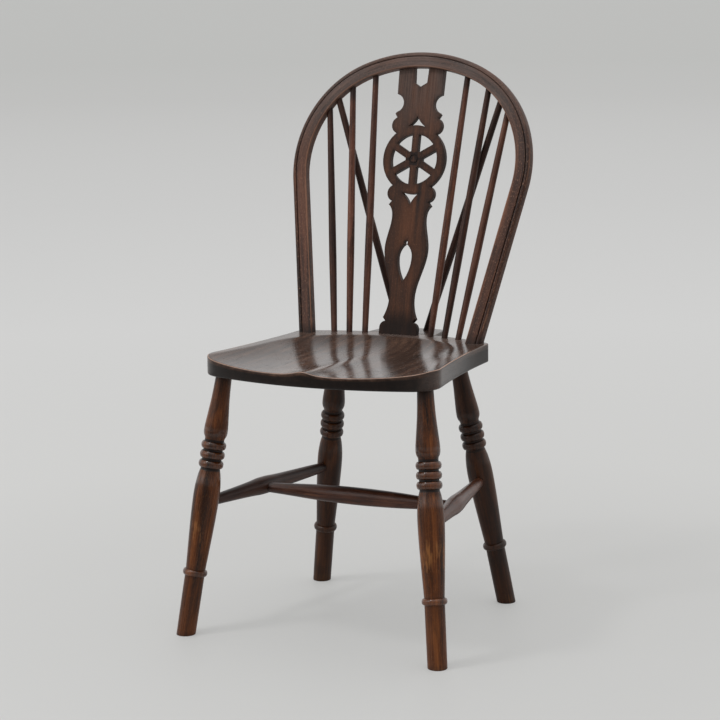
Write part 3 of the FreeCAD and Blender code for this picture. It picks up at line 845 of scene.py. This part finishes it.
def seat_half_plan():
    """Right half of the seat's outline, from the middle of the front to the middle of the rear."""
    front_c, front_r = circle_through((-FRONT_CORNER[0], FRONT_CORNER[1]), (0, SEAT_FRONT_Y), FRONT_CORNER)
    side_c, side_r = circle_through(FRONT_CORNER, WAIST, REAR_CORNER)
    rear_c, rear_r = circle_through(REAR_CORNER, (0, SEAT_REAR_Y), (-REAR_CORNER[0], REAR_CORNER[1]))
    big = rounding_centre(front_c, front_r - FRONT_CORNER_RADIUS, side_c, side_r + FRONT_CORNER_RADIUS,
                          FRONT_CORNER)
    small = rounding_centre(rear_c, rear_r - REAR_CORNER_RADIUS, side_c, side_r + REAR_CORNER_RADIUS,
                            REAR_CORNER)
    front_touch = front_c + (big - front_c).normalized() * front_r
    side_touch = side_c + (big - side_c).normalized() * side_r
    side_end = side_c + (small - side_c).normalized() * side_r
    rear_touch = rear_c + (small - rear_c).normalized() * rear_r
    plan = arc_points(front_c, front_r, Vector((0, SEAT_FRONT_Y)), front_touch, 200)
    plan += arc_points(big, FRONT_CORNER_RADIUS, front_touch, side_touch, 120)[1:]
    plan += arc_points(side_c, side_r, side_touch, side_end, 300)[1:]
    plan += arc_points(small, REAR_CORNER_RADIUS, side_end, rear_touch, 60)[1:]
    plan += arc_points(rear_c, rear_r, rear_touch, Vector((0, SEAT_REAR_Y)), 200)[1:]
    return plan


def evenly(points, count):
    """The same line cut into equal steps."""
    runs = [0.0]
    for a, b in zip(points, points[1:]):
        runs.append(runs[-1] + (b - a).length)
    out = []
    k = 0
    for i in range(count + 1):
        target = runs[-1] * i / count
        while k < len(points) - 2 and runs[k + 1] < target:
            k += 1
        t = (target - runs[k]) / (runs[k + 1] - runs[k])
        out.append(points[k].lerp(points[k + 1], t))
    return out


def seat_plan():
    """The seat's whole outline, from the middle of the front."""
    half = evenly(seat_half_plan(), SEAT_POINTS // 2)
    return half + [Vector((-p.x, p.y)) for p in reversed(half[1:-1])]


def scoop_height(x, y):
    """Height of the saddled surface, two hollows with a ridge between the thighs."""
    flare = SADDLE_FLARE * (max(0.0, -y) / FLARE_RUN) ** 2
    reach = SADDLE_REAR_Y - SADDLE_MIDDLE_Y if y > SADDLE_MIDDLE_Y else SADDLE_FRONT_REACH
    across = abs(x) / (SADDLE_HALF_WIDTH + flare)
    along = abs(y - SADDLE_MIDDLE_Y) / reach
    spread = across ** 2.2 + along ** 2.2
    hollow = SADDLE_DEPTH * (1 - spread ** 1.3)
    fade = (max(0.0, SADDLE_REAR_Y - y) / (SADDLE_REAR_Y - SEAT_FRONT_Y)) ** 2
    ridge = RIDGE_HEIGHT * fade / (1 + (x / RIDGE_HALF_WIDTH) ** 2)
    return SEAT_TOP - hollow + ridge


def seat_top(x, y):
    """The scoop meets the flat rim in a soft line."""
    low = scoop_height(x, y)
    lift = max(0.0, RIM_SOFTNESS - abs(low - SEAT_TOP)) ** 2 / (4 * RIM_SOFTNESS)
    return min(low, SEAT_TOP) - lift


def seat_rings(plan):
    """Rings of points from the seat's underside round its edge and onto the saddle."""
    inward = []
    for i, after in enumerate(plan[1:] + plan[:1]):
        along = after - plan[i - 1]
        inward.append(Vector((-along.y, along.x)).normalized())

    def ring(inset, height):
        moved = [p + n * inset for p, n in zip(plan, inward)]
        return [Vector((q.x, q.y, height(q.x, q.y))) for q in moved]

    def under(inset, rise):
        return ring(inset, lambda x, y: SEAT_UNDER + rise)

    def over(inset, drop):
        return ring(inset, lambda x, y: seat_top(x, y) - drop)

    rings = [under(EDGE_BAND, 0.0)]
    for k in range(6):
        turn = math.pi / 2 * k / 5
        rings.append(under(LOWER_ARRIS * (1 - math.sin(turn)), LOWER_ARRIS * (1 - math.cos(turn))))
    low_ring = rings[-1]
    high_ring = over(0.0, UPPER_ARRIS)
    for k in range(1, 4):
        rings.append([a.lerp(b, k / 4) for a, b in zip(low_ring, high_ring)])
    for k in range(7):
        turn = math.pi / 2 * k / 6
        rings.append(over(UPPER_ARRIS * (1 - math.cos(turn)), UPPER_ARRIS * (1 - math.sin(turn))))
    return rings + [over(5.0, 0.0), over(EDGE_BAND, 0.0)]


def make_seat(material):
    """The saddled plank: its edge from rings, its top a fine grid laid on the saddle."""
    rings = seat_rings(seat_plan())
    seat = start_piece(SEAT_POINTS)
    place_selected(seat, rings[0])
    for places in rings[1:]:
        bpy.ops.mesh.extrude_edges_move(TRANSFORM_OT_translate={"value": (0, 0, 0.01)})
        place_selected(seat, places)
    bpy.ops.mesh.fill_grid(span=SEAT_POINTS // 4)
    bpy.ops.mesh.subdivide(number_cuts=2)
    mesh = bmesh.from_edit_mesh(seat.data)
    for vertex in mesh.verts:
        if vertex.select:
            vertex.co.z = seat_top(vertex.co.x, vertex.co.y)
    bpy.ops.mesh.select_all(action="DESELECT")
    mesh = bmesh.from_edit_mesh(seat.data)
    for edge in mesh.edges:
        if edge.is_boundary and all(v.co.z < SEAT_UNDER + 1 for v in edge.verts):
            edge.select_set(True)
    bmesh.update_edit_mesh(seat.data)
    bpy.ops.mesh.edge_face_add()
    close_up()
    shift = Vector((0.02, 0.0, 2.1))

    def grain(co):
        return Vector((co.x, co.z - SEAT_TOP, co.y)) * MM + shift

    def rubbed(co):
        drop = seat_top(co.x, co.y) - co.z
        cut = smooth_step(0.2, 1.5, SEAT_TOP - seat_top(co.x, co.y))
        lip = smooth_step(1.22, 0.7, drop) * smooth_step(0.06 * cut, 0.06 + 0.2 * cut, drop)
        lip *= 1.05 * (1 - 0.5 * smooth_step(-60, 60, co.y))
        rim = 0.4 * smooth_step(-0.9, -0.1, co.z - SEAT_TOP) * smooth_step(60, 110, co.y)
        return max(lip, rim, 0.06)

    # Painted shade with grime: the edge below the top is near black at the front and lighter along the
    # sides.
    def grimy(co):
        side_face = smooth_step(-2.0, -5.0, co.z - seat_top(co.x, co.y))
        return side_face * (0.95 - 0.5 * smooth_step(160, 200, abs(co.x)))

    # The grey film on the flat rim behind the saddle is dust and a painted sheen.
    def dusty(co):
        level = smooth_step(-0.9, -0.1, co.z - SEAT_TOP)
        return max(0.88 * level * smooth_step(40, 100, co.y), 0.15 * level)

    def waxed(co):
        side_face = smooth_step(1.0, 3.0, seat_top(co.x, co.y) - co.z) * smooth_step(412, 415, co.z)
        towards_front = smooth_step(-215, -185, co.y) * (1 - smooth_step(-60, 40, co.y))
        return 0.45 * side_face * smooth_step(120, 180, abs(co.x)) * towards_front

    mark(seat, grain=grain, rubbed=rubbed, grimy=grimy, dusty=dusty, waxed=waxed)
    put(seat, Matrix.Identity(4))
    hand_over(seat, "saddled_seat", material, "seat_wood", "seat", angle=50)


def place_camera():
    """The photograph's viewpoint, solved from the feet, leg rings, stick feet and bow feet."""
    data = bpy.data.cameras.new("photograph")
    data.lens = 114.86
    data.sensor_width = 36.0
    data.shift_x = -0.005
    data.shift_y = 0.0006
    data.clip_end = 200.0
    camera = bpy.data.objects.new("photograph", data)
    bpy.context.scene.collection.objects.link(camera)
    bpy.context.scene.camera = camera
    azimuth = math.radians(26.57)
    elevation = math.radians(9.93)
    roll = math.radians(-0.74)
    back = Vector((math.sin(azimuth) * math.cos(elevation), -math.cos(azimuth) * math.cos(elevation),
                   math.sin(elevation)))
    level = Vector((0, 0, 1)).cross(back).normalized()
    upright = back.cross(level)
    right = level * math.cos(roll) + upright * math.sin(roll)
    above = upright * math.cos(roll) - level * math.sin(roll)
    place = Vector((1593.25, -3196.78, 1041.12)) * MM
    camera.matrix_world = Matrix.Translation(place) @ Matrix((right, above, back)).transposed().to_4x4()


# The floor's colour to the camera, by distance in metres from the chair's middle. It is
# painted light and shade: a little darker close to the chair, brightest about 3 m out, and
# dimmer beyond.
FLOOR_REACH = 20.0
FLOOR_PAINTED_LIGHT = ((0.6, (208, 208, 206)), (1.2, (219, 219, 217)), (3.0, (227, 227, 226)),
              (6.4, (215, 215, 214)), (14.0, (195, 195, 193)), (20.0, (189, 190, 187)))
# The share of that colour in what the camera sees. The rest is lit and takes the shadow.
SEEN_SHARE = 0.475


def lay_floor():
    """A pale floor. In front of the photographed part its lit colour is darker."""
    bpy.ops.object.select_all(action="DESELECT")
    bpy.ops.mesh.primitive_plane_add(size=500.0, location=(0, 0, 0))
    floor = bpy.context.object
    floor.name = "floor"
    material, r = new_finish("pale_floor")
    place = r.node("TexCoord", {}, {}, 3)
    distance = r.node("VectorMath", {"operation": "LENGTH"}, {0: place}, 1)
    stops = [(metres / FLOOR_REACH, paint(*colour)) for metres, colour in FLOOR_PAINTED_LIGHT]
    glow = r.node("ValToRGB", {"stops": stops}, {"Fac": distance / FLOOR_REACH})
    photographed = r.between(r.node("SeparateXYZ", {}, {0: place}, 1), -2.0, -0.8)
    lit_colour = r.mixed(photographed, paint(96, 96, 95), paint(190, 190, 189))
    glow = r.mixed(photographed, paint(250, 250, 248), glow)
    lit = r.node("BsdfPrincipled", {}, {"Base Color": lit_colour, "Roughness": 0.6})
    seen = r.node("Emission", {}, {"Color": glow, "Strength": 1.0})
    to_camera = r.node("LightPath", {}, {}, 0)
    shader = r.node("MixShader", {}, {0: to_camera * SEEN_SHARE, 1: lit, 2: seen})
    r.node("OutputMaterial", {}, {"Surface": shader})
    floor.data.materials.append(material)


def light_room():
    """An even pale room, dimmer in front of the chair and brighter overhead."""
    world = bpy.data.worlds.new("studio")
    world.use_nodes = True
    bpy.context.scene.world = world
    r = Recipe(world.node_tree)
    outward = r.node("TexCoord", {}, {}, 0)
    to_front = r.node("VectorMath", {"operation": "DOT_PRODUCT"}, {0: outward, 1: (0.447, -0.894, 0.0)}, 1)
    upward = r.node("VectorMath", {"operation": "DOT_PRODUCT"}, {0: outward, 1: (0.0, 0.0, 1.0)}, 1)
    front_wall = r.between(to_front, -0.1, 0.8) * (1 - r.between(upward, 0.2, 0.6))
    ceiling = r.between(upward, 0.72, 0.9)
    glow = 0.89 + ceiling * 0.7 - front_wall * 0.5 - r.between(upward, 0.25, 0.6) * 0.25
    sky = world.node_tree.nodes["Background"]
    sky.inputs["Color"].default_value = (1.0, 1.0, 1.0, 1.0)
    world.node_tree.links.new(glow.socket, sky.inputs["Strength"])


def soft_light(name, place, aim, size, power):
    """A square lamp at one place, turned towards another."""
    lamp = bpy.data.lights.new(name, "AREA")
    lamp.shape = "RECTANGLE"
    lamp.size = size
    lamp.size_y = size
    lamp.energy = power
    holder = bpy.data.objects.new(name, lamp)
    bpy.context.scene.collection.objects.link(holder)
    place = Vector(place)
    turn = (place - Vector(aim)).to_track_quat("Z", "Y")
    holder.matrix_world = Matrix.Translation(place) @ turn.to_matrix().to_4x4()


leg_wood = wood("waxed_leg_wood", [(34, 15, 5), (87, 45, 16), (124, 70, 30), (156, 102, 54)],
                rough=(0.2, 0.34), gloss=1.36, bruise=0.65, patchy=0.65)
rail_wood = wood("waxed_stretcher_wood", [(28, 14, 8), (68, 35, 21), (96, 56, 36), (128, 84, 58)],
                 rough=(0.26, 0.4), gloss=1.42, bruise=0.35, flecks=0.15)
stick_wood = wood("waxed_stick_wood", [(34, 16, 9), (106, 63, 46), (142, 94, 74), (160, 118, 96)],
                  rough=(0.28, 0.42), gloss=1.36, bruise=0.45, flecks=0.4)
bow_wood = wood("waxed_bow_wood", [(30, 15, 9), (76, 45, 31), (112, 70, 50), (160, 116, 92)],
                rough=(0.38, 0.54), gloss=1.36, bruise=0.65, figure=1.2, flecks=0.6)
splat_wood = wood("waxed_splat_wood", [(28, 13, 7), (70, 38, 19), (98, 57, 33), (134, 92, 66)],
                  rough=(0.38, 0.54), gloss=1.33, bruise=0.35, patchy=0.3, figure=0.8, flecks=0.4,
                  relief=0.35)
seat_wood = wood("polished_seat_wood", [(32, 22, 18), (68, 50, 41), (98, 73, 59), (170, 138, 120)],
                 rough=(0.14, 0.25), gloss=1.337, rings=0.22, bruise=0.85, figure=0.55, flecks=0.07)
wedge_wood = wood("pale_wedge_wood", [(70, 48, 32), (112, 78, 52), (146, 106, 72), (160, 120, 84)],
                  rough=(0.45, 0.6))

place_camera()

random.seed(7)
for end in LEGS:
    for side_name in SIDES:
        make_leg(end, side_name, leg_wood)
make_stretchers(rail_wood)
for side_name, side in SIDES.items():
    for place, (foot, top) in STICKS.items():
        smoke = SMOKED.get((side_name, place), CLEAN)
        make_stick("back_stick_%s_%s" % (side_name, place), side, foot, top, STICK_END, smoke, stick_wood)
    make_stick("brace_stick_" + side_name, side, *BRACE, BRACE_END, BRACE_SMOKED, stick_wood)
peg_foot, peg_axis = make_bow(bow_wood)
make_splat(splat_wood)
make_tail(seat_wood)
make_peg_ends(peg_foot, peg_axis, bow_wood, wedge_wood)
make_seat(seat_wood)

lay_floor()
light_room()
soft_light("overhead_softbox", (-0.8, -0.9, 2.7), (0, 0, 0.3), 0.32, 13)
soft_light("front_softbox", (-2.2, -2.9, 2.3), (0, 0, 0.45), 2.4, 20)
bpy.context.scene.view_settings.view_transform = "Standard"
